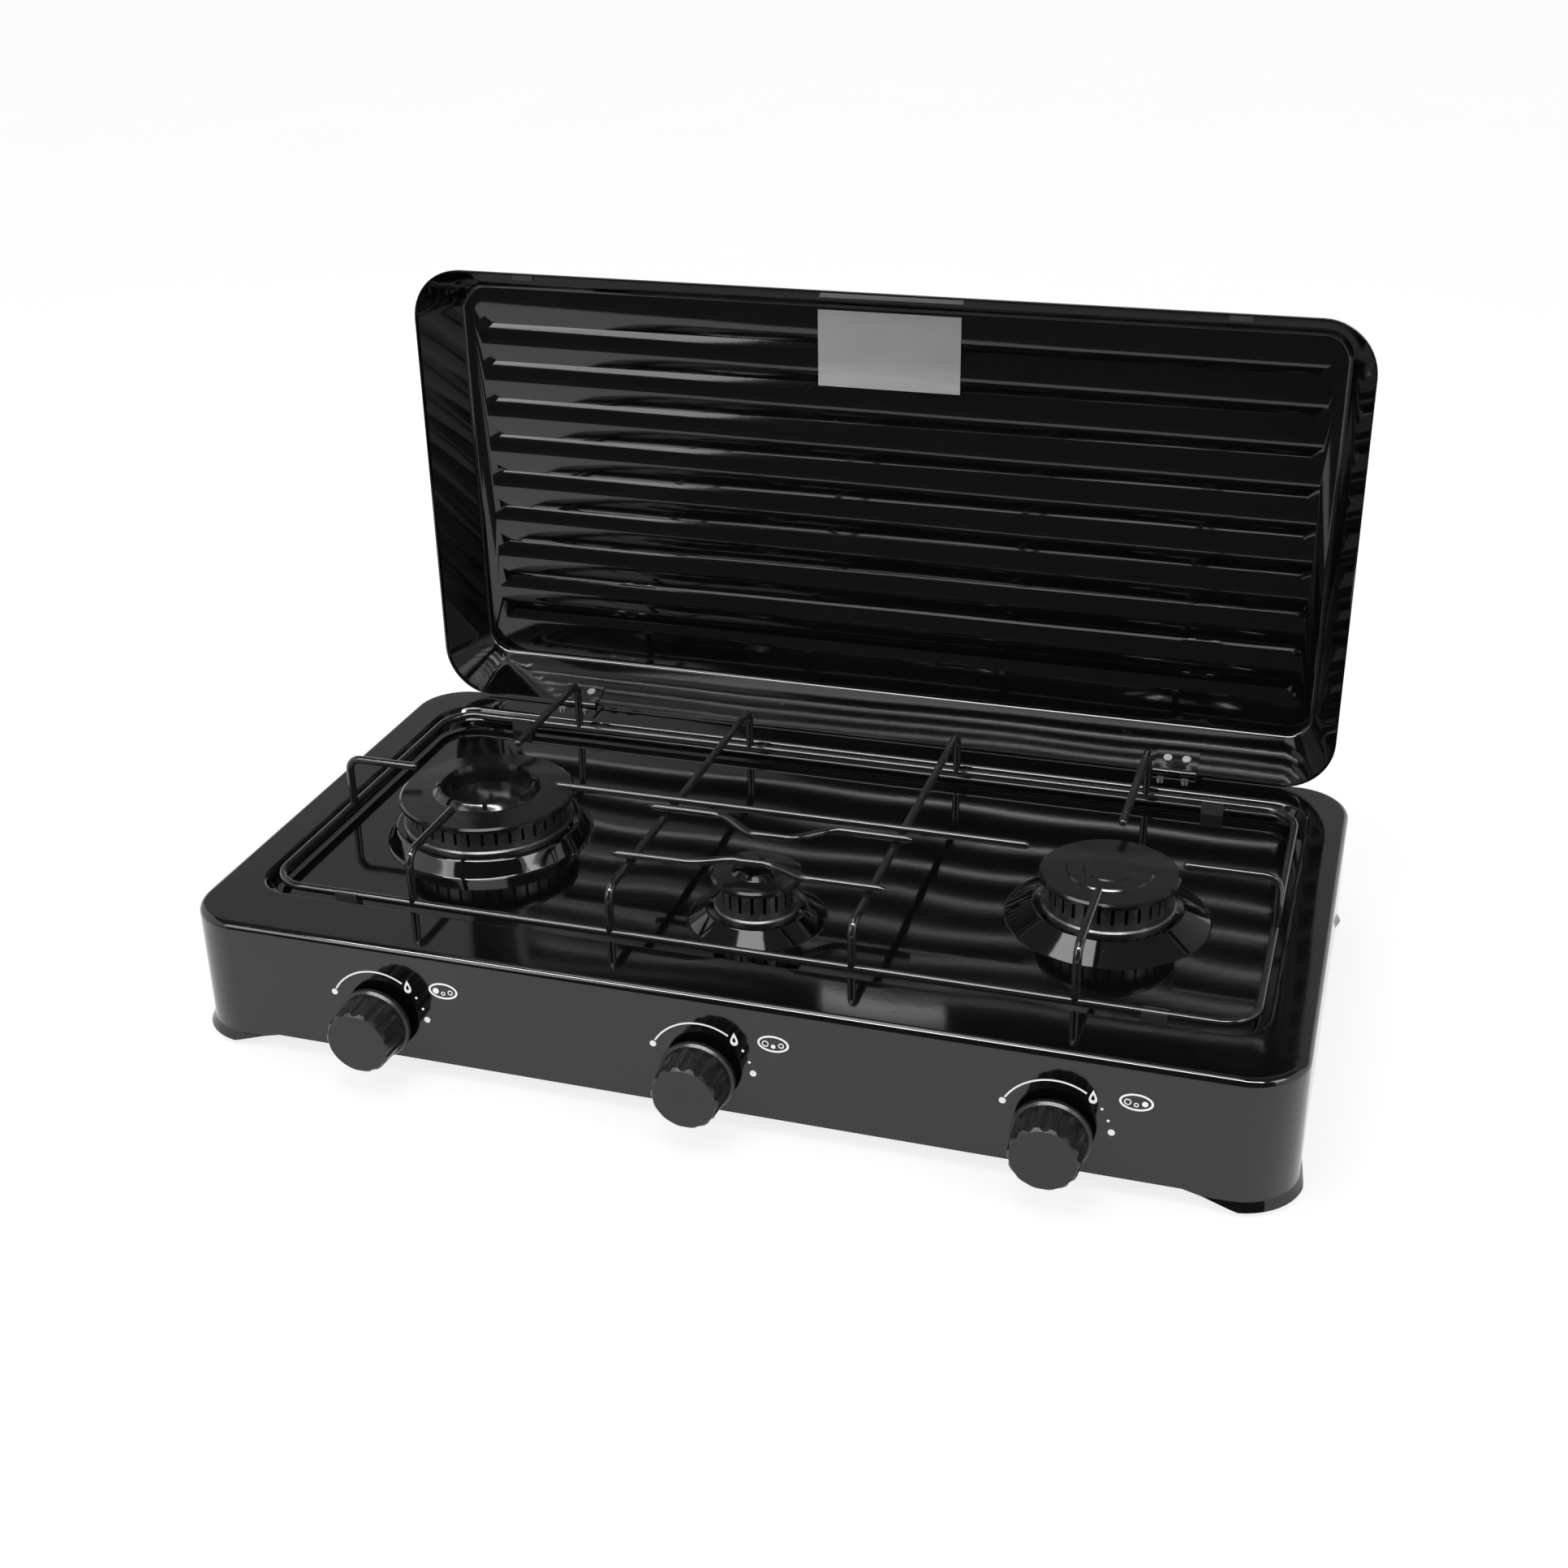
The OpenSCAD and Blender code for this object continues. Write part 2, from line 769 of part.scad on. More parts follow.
module tap_screws() {
    out = -body_d / 2 - seat_gap;
    color(steel) {
        tap_screw_holes(tap_screw_r, out, out + tap_screw_len);
        tap_screw_holes(tap_screw_head_r, out - tap_screw_head_h, out);
    }
}

module tap_jets() {
    start = tap_back + seat_gap;
    color(brass)
        for (i = [0:2])
            difference() {
                union() {
                    translate([burner_at[i][0], start, knob_z])
                        rotate([-90, 0, 0])
                            cylinder(r = jet_r, h = jet_len, $fn = 6);
                    translate([burner_at[i][0], start, knob_z])
                        rotate([-90, 0, 0])
                            cylinder(r = jet_r - 1, h = jet_len + jet_tip_len, $fn = small_fn);
                }
                along_y(burner_at[i][0], start - cut, start + jet_len, knob_z, gas_bore);
                along_y(burner_at[i][0], start, start + jet_len + jet_tip_len + cut, knob_z, jet_hole);
            }
}

module plug(i) {
    x = burner_at[i][0];
    hole = tail_w + 2 * run_gap;
    color(brass)
        difference() {
            translate([x, plug_y, knob_z])
                rotate([-90, 0, 0])
                    cylinder(r1 = plug_front_r, r2 = plug_back_r, h = plug_len - 2 * seat_gap, $fn = small_fn);
            translate([x - hole / 2, plug_y - cut, knob_z - hole / 2])
                cube([hole, tail_len - chamber_len + collar_stop_t + tail_room + cut, hole]);
        }
}

module plug_left() plug(0);
module plug_middle() plug(1);
module plug_right() plug(2);

module spindle(i) {
    x = burner_at[i][0];
    stop_y = tap_front + seat_gap;
    color(steel) {
        along_y(x, -body_d / 2 - knob_reach + spindle_tip, stop_y + cut, knob_z, spindle_r);
        along_y(x, stop_y, stop_y + collar_stop_t, knob_z, collar_stop_r);
        translate([x - tail_w / 2, stop_y, knob_z - tail_w / 2])
            cube([tail_w, tail_len, tail_w]);
    }
}

module spindle_left() spindle(0);
module spindle_middle() spindle(1);
module spindle_right() spindle(2);

module knob(i) {
    skirt_top = knob_gap + skirt_t;
    slope = atan((grip_base_r - grip_face_r) / (knob_reach - skirt_top));
    color(plastic)
        at_knob(i, -body_d / 2)
            difference() {
                rotate_extrude($fn = round_fn)
                    polygon([
                        [0, knob_gap + 1], [hub_r, knob_gap + 1], [hub_r, knob_gap + knob_hollow],
                        [grip_face_r - knob_wall, knob_gap + knob_hollow], [grip_face_r - knob_wall, knob_gap],
                        [skirt_r, knob_gap], [skirt_r, skirt_top - 1.5], [skirt_r - 1.2, skirt_top],
                        [grip_base_r, skirt_top], [grip_face_r, knob_reach - 1.5],
                        [grip_face_r - 1.5, knob_reach], [0, knob_reach]
                    ]);
                for (k = [0:flute_count - 1])
                    rotate([0, 0, (k + 0.5) * 360 / flute_count])
                        translate([grip_base_r + flute_r - flute_cut, 0, skirt_top + 1])
                            rotate([0, -slope, 0])
                                cylinder(r = flute_r, h = knob_reach, $fn = small_fn);
                cylinder(r = spindle_r + seat_gap, h = knob_reach - spindle_tip + seat_gap, $fn = small_fn);
            }
}

module knob_left() knob(0);
module knob_middle() knob(1);
module knob_right() knob(2);

module hinge_screw_places() {
    for (h = [-1, 1], s = [-1, 1])
        translate([h * hinge_x + s * hinge_screw_x, hinge_screw_y, 0])
            children();
}

module hinge_leaves() {
    z = body_h + seat_gap;
    back = axis_y - knuckle_r - leaf_gap;
    color(enamel)
        for (h = [-1, 1])
            difference() {
                union() {
                    translate([h * hinge_x - hinge_w / 2, axis_y - leaf_len, z])
                        cube([hinge_w, back - axis_y + leaf_len, leaf_t]);
                    for (s = [0, 1])
                        translate([h * hinge_x - hinge_w / 2 - stop_w + s * (hinge_w + stop_w), axis_y - leaf_len, z])
                            cube([stop_w, leaf_len + hem, leaf_t]);
                    for (s = [-1, 1])
                        translate([h * hinge_x + s * knuckle_w - knuckle_w / 2, 0, 0]) {
                            translate([0, back - cut, z])
                                cube([knuckle_w, axis_y - back + cut, leaf_t]);
                            along_x(0, knuckle_w, axis_y, axis_z, knuckle_r);
                        }
                }
                along_x(h * hinge_x - hinge_w, h * hinge_x + hinge_w, axis_y, axis_z, pin_r + run_gap);
                hinge_screw_places()
                    translate([0, 0, body_h - cut])
                        cylinder(r = screw_r + run_gap, h = leaf_t + 2 * cut, $fn = small_fn);
            }
}

module hinge_pins() {
    color(steel)
        for (h = [-1, 1])
            along_x(h * hinge_x - hinge_w / 2, h * hinge_x + hinge_w / 2, axis_y, axis_z, pin_r);
}

module hinge_screws() {
    top = body_h + leaf_t + 2 * seat_gap;
    color(steel)
        hinge_screw_places() {
            translate([0, 0, top])
                cylinder(r = screw_head_r, h = 1.4, $fn = small_fn);
            translate([0, 0, body_h - join])
                cylinder(r = screw_r, h = top - body_h + join, $fn = small_fn);
        }
}

// Draws the lid pieces closed, with the hinge axis at the origin, and swings them open
module on_lid() {
    translate([0, axis_y, axis_z])
        rotate([-lid_open, 0, 0])
            children();
}

// Roof-shaped bodies on the inside of the lid panel, raised, and carried on below their foot
module grooves(raised, deep) {
    half = groove_w / 2;
    wider = half * (1 + deep / groove_h);
    longer = groove_half - half + wider;
    for (k = [0:groove_count - 1])
        translate([0, -first_groove - k * groove_pitch, lid_depth - sheet + raised])
            intersection() {
                translate([-lid_w / 2, 0, 0])
                    rotate([90, 0, 90])
                        linear_extrude(lid_w)
                            polygon([[-wider, -deep], [wider, -deep], [0, groove_h]]);
                translate([0, wider + cut, 0])
                    rotate([90, 0, 0])
                        linear_extrude(2 * (wider + cut))
                            polygon([
                                [-longer, -deep], [longer, -deep],
                                [groove_half - half, groove_h], [half - groove_half, groove_h]
                            ]);
            }
}

// Puts an outline drawn as distance in from the hinge edge and height across the lid
module across_lid(x0, x1) {
    translate([x0, lid_past, 0])
        rotate([90, 0, 90])
            linear_extrude(x1 - x0)
                mirror([1, 0])
                    children();
}

module rivet_places() {
    normal_tilt = atan2(strap_dir[0], strap_dir[1]);
    for (h = [-1, 1], s = [-1, 1])
        translate([h * hinge_x + s * rivet_x, lid_past - rivet_at[0], rivet_at[1]])
            rotate([-90 + normal_tilt, 0, 0])
                children();
}

module lid_shell() {
    inset = lid_slope + lid_round_r;
    color(enamel)
        on_lid()
            difference() {
                union() {
                    translate([0, lid_mid, 0])
                        swept(lid_w, lid_len, lid_r)
                            polygon(strip(lid_path, lid_round, -sheet));
                    translate([0, lid_mid, lid_depth - sheet])
                        linear_extrude(sheet)
                            rounded_rect(lid_w - 2 * inset - 2, lid_len - 2 * inset - 2, lid_r - inset - 1);
                    grooves(groove_rise, groove_rise - sheet / 2);
                }
                grooves(0, sheet / 2);
                for (h = [-1, 1])
                    across_lid(h * hinge_x - hinge_w / 2 - leaf_gap, h * hinge_x + hinge_w / 2 + leaf_gap)
                        translate([-cut, -cut])
                            square([sheet + 2 * cut, knuckle_r + leaf_gap + cut]);
                rivet_places()
                    cylinder(r = rivet_r + run_gap, h = 4 * sheet, center = true, $fn = small_fn);
            }
}

module lid_leaves() {
    side = [strap_dir[1], -strap_dir[0]] * leaf_t;
    root = strap_start + strap_dir * leaf_t;
    tip = strap_start + strap_dir * strap_len;
    bar_w = knuckle_w - 2 * knuckle_gap;
    color(enamel)
        on_lid()
            difference() {
                for (h = [-1, 1]) {
                    across_lid(h * hinge_x - hinge_w / 2, h * hinge_x + hinge_w / 2)
                        polygon([strap_start, tip, tip + side, strap_start + side]);
                    across_lid(h * hinge_x - bar_w / 2, h * hinge_x + bar_w / 2)
                        polygon([[lid_past - strap_bar, 0], root, root + side, [lid_past + strap_bar, 0]]);
                    along_x(h * hinge_x - bar_w / 2, h * hinge_x + bar_w / 2, 0, 0, knuckle_r);
                }
                along_x(-lid_w / 2, lid_w / 2, 0, 0, pin_r + run_gap);
                rivet_places()
                    cylinder(r = rivet_r + run_gap, h = 4 * leaf_t + 2 * sheet, center = true, $fn = small_fn);
            }
}

module lid_rivets() {
    color(steel)
        on_lid()
            rivet_places() {
                translate([0, 0, -leaf_t - 3 * seat_gap])
                    cylinder(r = rivet_r, h = leaf_t + sheet + 5 * seat_gap, $fn = small_fn);
                translate([0, 0, sheet + seat_gap])
                    cylinder(r = rivet_head_r, h = rivet_head_h, $fn = small_fn);
                translate([0, 0, -leaf_t - 3 * seat_gap - rivet_head_h])
                    cylinder(r = rivet_head_r, h = rivet_head_h, $fn = small_fn);
            }
}

module lid_plate() {
    color(steel)
        on_lid()
            translate([plate_x - plate_w / 2, -plate_at - plate_h / 2, lid_depth - sheet - plate_t - seat_gap])
                cube([plate_w, plate_h, plate_t]);
}

module lid_buffers() {
    color(rubber)
        on_lid()
            for (x = [-1, 1])
                translate([x * buffer_x - buffer_w / 2, lid_past - lid_len + sheet + seat_gap, -buffer_drop])
                    cube([buffer_w, buffer_t, buffer_drop + buffer_up]);
}

module ring_wires(r) {
    for (y = [ring_front, ring_back])
        along_x(ring_r - ring_w / 2, ring_w / 2 - ring_r, y, ring_z, r);
    for (x = [-1, 1])
        along_y(x * ring_w / 2, ring_front + ring_r, ring_back - ring_r, ring_z, r);
}

module trivet_ring() {
    color(enamel) {
        ring_wires(wire_r);
        for (x = [0, 1], y = [0, 1])
            translate([0, ring_y, ring_z])
                mirror([x, 0, 0])
                    mirror([0, y, 0])
                        translate([ring_w / 2 - ring_r, ring_d / 2 - ring_r, 0])
                            rotate_extrude(angle = 90, $fn = round_fn)
                                translate([ring_r, 0])
                                    circle(wire_r, $fn = small_fn);
    }
}

// Leg that rises from the origin and bends over to run along +X to the given length
module leg(rise, length) {
    cylinder(r = wire_r, h = rise - bend_r, $fn = small_fn);
    translate([bend_r, 0, rise - bend_r])
        rotate([90, 0, 0])
            rotate([0, 0, 90])
                rotate_extrude(angle = 90, $fn = small_fn)
                    translate([bend_r, 0])
                        circle(wire_r, $fn = small_fn);
    translate([bend_r, 0, rise])
        rotate([0, 90, 0])
            cylinder(r = wire_r, h = length - bend_r, $fn = small_fn);
}

module finger(length) {
    leg(support_h, length);
    translate([length, 0, support_h])
        sphere(wire_r, $fn = small_fn);
}

module trivet_rails() {
    color(enamel)
        difference() {
            for (x = [-1, 1]) {
                translate([x * rail_x, ring_front, ring_z])
                    rotate([0, 0, 90])
                        leg(rail_top_z - ring_z, ring_d / 2);
                translate([x * rail_x, ring_back, ring_z])
                    rotate([0, 0, -90])
                        leg(rail_top_z - ring_z, ring_d / 2);
            }
            ring_wires(wire_r + seat_gap);
        }
}

// Centre line of a wavy bar at distance x from the middle
function bar_step(x) = min(max((abs(x) - bar_flat) / bar_run, 0), 1);
function bar_y(x, mid_y, side_y) =
    let (s = bar_step(x))
    mid_y + (side_y - mid_y) * s * s * (3 - 2 * s);

// Ring of points around the centre line, with the ends rounded
function bar_ring(k, mid_y, side_y) =
    let (
        x = -bar_half + 2 * bar_half * k / bar_parts,
        along = unit([2 * bar_probe, bar_y(x + bar_probe, mid_y, side_y) - bar_y(x - bar_probe, mid_y, side_y)]),
        r = k == 0 || k == bar_parts ? wire_r * 0.6 : wire_r
    )
    [
        for (j = [0:bar_sides - 1])
            let (side = left_of(along) * r * cos(j * 360 / bar_sides))
            [x + side[0], bar_y(x, mid_y, side_y) + side[1], top_z + r * sin(j * 360 / bar_sides)]
    ];

module wavy_bar(mid_y, side_y) {
    last = bar_parts * bar_sides;
    polyhedron(
        points = [for (k = [0:bar_parts]) each bar_ring(k, mid_y, side_y)],
        faces = concat(
            [[for (j = [0:bar_sides - 1]) j], [for (j = [bar_sides - 1:-1:0]) last + j]],
            [
                for (k = [0:bar_parts - 1], j = [0:bar_sides - 1])
                    let (a = k * bar_sides, b = a + bar_sides, n = (j + 1) % bar_sides)
                    [a + j, b + j, b + n, a + n]
            ]
        )
    );
}

module trivet_bars() {
    color(enamel) {
        along_x(-cross_half, cross_half, burner_y, top_z, wire_r);
        for (x = [-1, 1])
            translate([x * cross_half, burner_y, top_z])
                sphere(wire_r, $fn = small_fn);
        wavy_bar(rear_mid_y, rear_side_y);
        wavy_bar(front_mid_y, front_side_y);
    }
}

module trivet_fingers() {
    color(enamel)
        difference() {
            for (side = [-1, 1]) {
                tip = side < 0 ? tip_large : tip_medium;
                translate([side * burner_x, ring_front, ring_z])
                    rotate([0, 0, 90])
                        finger(burner_y - tip - ring_front);
                translate([side * burner_x, ring_back, ring_z])
                    rotate([0, 0, -90])
                        finger(ring_back - burner_y - tip);
                translate([side * ring_w / 2, burner_y, ring_z])
                    rotate([0, 0, side < 0 ? 0 : 180])
                        finger(ring_w / 2 - burner_x - tip);
            }
            ring_wires(wire_r + seat_gap);
        }
}

module trivet_feet() {
    color(rubber)
        difference() {
            for (x = [-1, 1], y = [ring_front, ring_back])
                translate([x * tfoot_x - tfoot_w / 2, y - tfoot_d / 2, floor_z + seat_gap])
                    cube([tfoot_w, tfoot_d, ring_z + tfoot_up - floor_z - seat_gap]);
            ring_wires(wire_r + seat_gap);
        }
}

body_shell();
foot_pads();
burner_left_body();
burner_left_crown();
burner_left_cap();
burner_middle_body();
burner_middle_crown();
burner_middle_cap();
burner_right_body();
burner_right_crown();
burner_right_cap();
burner_screws();
gas_rail();
inlet_nozzle();
tap_left();
tap_middle();
tap_right();
tap_covers();
tap_screws();
tap_jets();
plug_left();
plug_middle();
plug_right();
spindle_left();
spindle_middle();
spindle_right();
knob_left();
knob_middle();
knob_right();
hinge_leaves();
hinge_pins();
hinge_screws();
lid_shell();
lid_leaves();
lid_rivets();
lid_plate();
lid_buffers();
trivet_ring();
trivet_rails();
trivet_bars();
trivet_fingers();
trivet_feet();
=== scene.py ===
import json
import math

import bmesh
import bpy
from mathutils import Matrix, Vector


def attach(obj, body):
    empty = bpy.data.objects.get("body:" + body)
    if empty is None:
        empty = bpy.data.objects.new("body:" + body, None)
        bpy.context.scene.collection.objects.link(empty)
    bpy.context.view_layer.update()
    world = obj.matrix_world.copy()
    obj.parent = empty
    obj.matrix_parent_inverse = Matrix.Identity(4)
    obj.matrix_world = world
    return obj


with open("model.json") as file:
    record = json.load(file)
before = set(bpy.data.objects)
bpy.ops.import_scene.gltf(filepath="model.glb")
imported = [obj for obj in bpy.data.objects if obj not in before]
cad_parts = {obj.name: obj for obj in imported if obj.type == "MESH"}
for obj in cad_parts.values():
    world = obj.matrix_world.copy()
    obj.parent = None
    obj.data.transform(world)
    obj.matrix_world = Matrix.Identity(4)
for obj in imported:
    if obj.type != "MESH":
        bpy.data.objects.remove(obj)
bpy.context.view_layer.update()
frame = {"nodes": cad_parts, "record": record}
nodes = frame["nodes"]
MM = 0.001

# Places on the hob, in millimetres
PANEL_Y = -175.0
KNOB_Z = 34.0
KNOB_X = {"left": -197.0, "middle": 0.0, "right": 197.0}

# Print round each knob, in millimetres, and in degrees from its right side
PRINT_LOW = 0.01
PRINT_HIGH = 0.15
RING_POINTS = 40
ARC_STEPS = 48
DIAL_R = 30.5
ARC_WIDTH = 1.0
ARC_START = 57.0
ARC_END = 150.0
OFF_TURN = 155.0
STEP_TURNS = (35.0, 20.5)
LOW_TURN = 7.0
LOW_R = 30.8
BIG_DOT = 1.9
SMALL_DOT = 0.8
FLAME_R = 31.5
FLAME_TURN = 50.5
FLAME_SIZE = 3.2
FLAME_TALL = 1.35
FLAME_PINCH = 1.6
FLAME_HOLE = 1.4
FLAME_HOLE_DROP = 0.5

# Small plan of the hob beside each knob, from the knob's centre: place and radius of each burner
PLAN_AT = (42.5, 25.0)
PLAN_OUTER = (9.0, 5.2)
PLAN_INNER = (7.8, 4.1)
PLAN_LINE = 0.55
PLAN_BURNERS = {
    "left": ((38.0, 24.6), 1.9),
    "middle": ((42.5, 23.4), 1.3),
    "right": ((47.0, 24.6), 1.6),
}

# Shading of the solids: corners closer than this (metres) are joined, bends under this angle are round
WELD = 2e-6
SOFT_ANGLE = math.radians(25)

# Camera, in degrees and millimetres
CAMERA_ANGLES = (17.73, 26.28, -0.98)
CAMERA_AT = (338.0, -1072.0, 682.7)
CAMERA_LENS = 47.5
CAMERA_SENSOR = 36.0
CAMERA_FAR = 50.0

# Studio, in metres and watts
FLOOR_HALF = 20.0
FLOOR_LOW = -0.0004
FLOOR_GLOW = 0.8
# Tone of the dark cards, which show only in the gloss: painted dark reflections
DARK_REFLECTION_TONE = 0.06
# Glow of the strip card, which shows only in the gloss: painted highlights on edges, wires and creases
PAINTED_HIGHLIGHT_GLOW = 36.0
SEEN_RAYS = ("Is Camera Ray", "Is Glossy Ray", "Is Transmission Ray")
LAMP_AIM = (0.0, 0.0, 0.1)
LAMPS = {
    "top_box": {"place": (-0.3, -0.2, 1.9), "size": (1.2, 0.8), "power": 14.0},
    "front_box": {"place": (-1.2, -1.6, 1.3), "size": (0.9, 0.9), "power": 10.0},
    "right_box": {"place": (1.5, -0.5, 1.2), "size": (0.6, 0.6), "power": 6.0},
}
WHITE = (1.0, 1.0, 1.0, 1.0)

# Sockets of a colour Mix node, which share their names
MIX_FACTOR, MIX_FIRST, MIX_SECOND, MIX_COLOUR = 0, 6, 7, 2


class Value:
    """A socket of a node tree. Arithmetic on it adds Math nodes."""

    def __init__(self, finish, socket):
        self.finish = finish
        self.socket = socket

    def math(self, operation, first, second):
        return self.finish.node("ShaderNodeMath", {"operation": operation}, {0: first, 1: second})

    def __add__(self, other):
        return self.math("ADD", self, other)

    def __radd__(self, other):
        return self.math("ADD", other, self)

    def __mul__(self, other):
        return self.math("MULTIPLY", self, other)

    def __rmul__(self, other):
        return self.math("MULTIPLY", other, self)

    def above(self, level, soft):
        """0 below the level, 1 above it, with a soft step between."""
        return self.finish.node(
            "ShaderNodeMapRange",
            {"interpolation_type": "SMOOTHSTEP"},
            {"Value": self, "From Min": level - soft, "From Max": level + soft},
        )

    def most(self, other):
        return self.math("MAXIMUM", self, other)


class Finish:
    """A tree of nodes: a new material's, or one that is given."""

    def __init__(self, name, tree=None):
        if tree is None:
            self.material = bpy.data.materials.new(name)
            self.material.use_nodes = True
            tree = self.material.node_tree
        self.tree = tree
        self.tree.nodes.clear()

    def node(self, kind, settings=None, sockets=None, out=0):
        made = self.tree.nodes.new(kind)
        for key, value in (settings or {}).items():
            setattr(made, key, value)
        for key, value in (sockets or {}).items():
            if isinstance(value, Value):
                self.tree.links.new(value.socket, made.inputs[key])
            else:
                made.inputs[key].default_value = value
        return Value(self, made.outputs[out]) if made.outputs else None

    def place(self):
        return self.node("ShaderNodeTexCoord", out="Object")

    def noise(self, scale, detail=2.0, rough=0.5, at=None):
        return self.node(
            "ShaderNodeTexNoise",
            sockets={"Vector": at or self.place(), "Scale": scale, "Detail": detail, "Roughness": rough},
        )

    def stretched(self, x, y, z):
        return self.node("ShaderNodeMapping", sockets={"Vector": self.place(), "Scale": (x, y, z)})

    def blend(self, factor, first, second):
        return self.node(
            "ShaderNodeMix",
            {"data_type": "RGBA"},
            {MIX_FACTOR: factor, MIX_FIRST: (*first, 1.0), MIX_SECOND: (*second, 1.0)},
            out=MIX_COLOUR,
        )

    def sway(self, scale, amount):
        """Surface normal that leans slowly to and fro, as on drawn sheet."""
        lean = self.node(
            "ShaderNodeTexNoise",
            {"normalize": False},
            {"Vector": self.place(), "Scale": scale, "Detail": 0.0},
            out="Color",
        )
        upright = self.node("ShaderNodeNewGeometry", out="Normal")
        tilted = self.node(
            "ShaderNodeVectorMath",
            {"operation": "MULTIPLY_ADD"},
            {0: lean, 1: (amount, amount, amount), 2: upright},
        )
        return self.node("ShaderNodeVectorMath", {"operation": "NORMALIZE"}, {0: tilted})

    def bump(self, height, depth, strength, under=None):
        sockets = {"Height": height, "Distance": depth, "Strength": strength}
        if under is not None:
            sockets["Normal"] = under
        return self.node("ShaderNodeBump", sockets=sockets)

    def surface(self, **sockets):
        names = {key.replace("_", " "): value for key, value in sockets.items()}
        return self.output(self.node("ShaderNodeBsdfPrincipled", sockets=names))

    def output(self, shader):
        self.node("ShaderNodeOutputMaterial", sockets={"Surface": shader})
        return self.material


def enamel_finish(name, dark, light, gloss, peel):
    """Fired enamel: a deep gloss with orange peel on sheet that is not quite flat."""
    f = Finish(name)
    cloud = f.noise(scale=9.0, detail=3.0)
    grain = f.noise(scale=900.0)
    specks = f.noise(scale=420.0, detail=1.0).above(level=0.74, soft=0.02)
    leaning = f.sway(scale=11.0, amount=0.012)
    return f.surface(
        Base_Color=f.blend(cloud * 0.7 + specks * 0.6, dark, light),
        Roughness=gloss + cloud * 0.03 + grain * 0.02 + specks * 0.12,
        Normal=f.bump(f.noise(scale=260.0), depth=0.0002, strength=peel, under=leaning),
        IOR=1.58,
    )


def burner_finish(name, dark, light, gloss, metal):
    """Cast burner parts, black or bare, with a slight grain."""
    f = Finish(name)
    cloud = f.noise(scale=60.0, detail=4.0, rough=0.6)
    grain = f.noise(scale=1400.0, detail=3.0)
    worn = f.noise(scale=170.0).above(level=0.62, soft=0.08)
    return f.surface(
        Base_Color=f.blend(cloud * 0.6 + worn * 0.4, dark, light),
        Roughness=gloss + cloud * 0.06 + worn * 0.02,
        Metallic=metal,
        Normal=f.bump(grain, depth=0.0003, strength=0.08),
    )


def metal_finish(name, dark, light, gloss, along, marks):
    """Bare metal with fine lines drawn along one direction."""
    f = Finish(name)
    lines = f.noise(scale=marks, detail=3.0, at=f.stretched(*along))
    cloud = f.noise(scale=45.0, detail=3.0)
    return f.surface(
        Base_Color=f.blend(lines * 0.6 + cloud * 0.4, dark, light),
        Roughness=gloss + lines * 0.16,
        Metallic=1.0,
        Normal=f.bump(lines, depth=0.0002, strength=0.12),
    )


def moulded_finish(name, dark, light, gloss, grain_scale, grain_strength):
    """Moulded plastic or rubber with a fine grain."""
    f = Finish(name)
    cloud = f.noise(scale=40.0, detail=3.0)
    grain = f.noise(scale=grain_scale)
    return f.surface(
        Base_Color=f.blend(cloud, dark, light),
        Roughness=gloss + grain * 0.12 + cloud * 0.04,
        Normal=f.bump(grain, depth=0.0004, strength=grain_strength),
    )


def print_finish():
    """White ink on the front panel, slightly thin in places."""
    f = Finish("white_print")
    thin = f.noise(scale=700.0, detail=3.0)
    return f.surface(
        Base_Color=f.blend(thin, (0.86, 0.86, 0.85), (0.66, 0.66, 0.66)),
        Roughness=0.32 + thin * 0.2,
    )


FINISHES = {
    "enamel": enamel_finish(
        "black_enamel", dark=(0.0012, 0.0012, 0.0015), light=(0.0036, 0.0036, 0.004), gloss=0.045, peel=0.05
    ),
    "wire_enamel": enamel_finish(
        "wire_enamel", dark=(0.005, 0.005, 0.006), light=(0.013, 0.013, 0.014), gloss=0.10, peel=0.12
    ),
    "burner_enamel": burner_finish(
        "burner_black", dark=(0.003, 0.003, 0.0035), light=(0.010, 0.010, 0.011), gloss=0.10, metal=0.0
    ),
    "rubber": moulded_finish(
        "black_rubber",
        dark=(0.006, 0.006, 0.006),
        light=(0.014, 0.014, 0.014),
        gloss=0.62,
        grain_scale=900.0,
        grain_strength=0.3,
    ),
    "alloy": burner_finish(
        "cast_alloy", dark=(0.34, 0.35, 0.36), light=(0.58, 0.59, 0.60), gloss=0.36, metal=1.0
    ),
    "brass": metal_finish(
        "turned_brass",
        dark=(0.52, 0.37, 0.14),
        light=(0.72, 0.55, 0.26),
        gloss=0.20,
        along=(1.0, 40.0, 1.0),
        marks=60.0,
    ),
    "steel": metal_finish(
        "plated_steel",
        dark=(0.42, 0.43, 0.45),
        light=(0.62, 0.63, 0.64),
        gloss=0.22,
        along=(30.0, 1.0, 1.0),
        marks=60.0,
    ),
    "plate": metal_finish(
        "satin_plate",
        dark=(0.76, 0.76, 0.765),
        light=(0.92, 0.92, 0.925),
        gloss=0.34,
        along=(1.0, 1.0, 60.0),
        marks=30.0,
    ),
    "knob_plastic": moulded_finish(
        "knob_black",
        dark=(0.006, 0.006, 0.007),
        light=(0.012, 0.012, 0.013),
        gloss=0.22,
        grain_scale=1500.0,
        grain_strength=0.12,
    ),
}
CROWN = burner_finish(
    "crown_metal", dark=(0.05, 0.05, 0.052), light=(0.16, 0.16, 0.165), gloss=0.30, metal=0.85
)
WHITE_PRINT = print_finish()


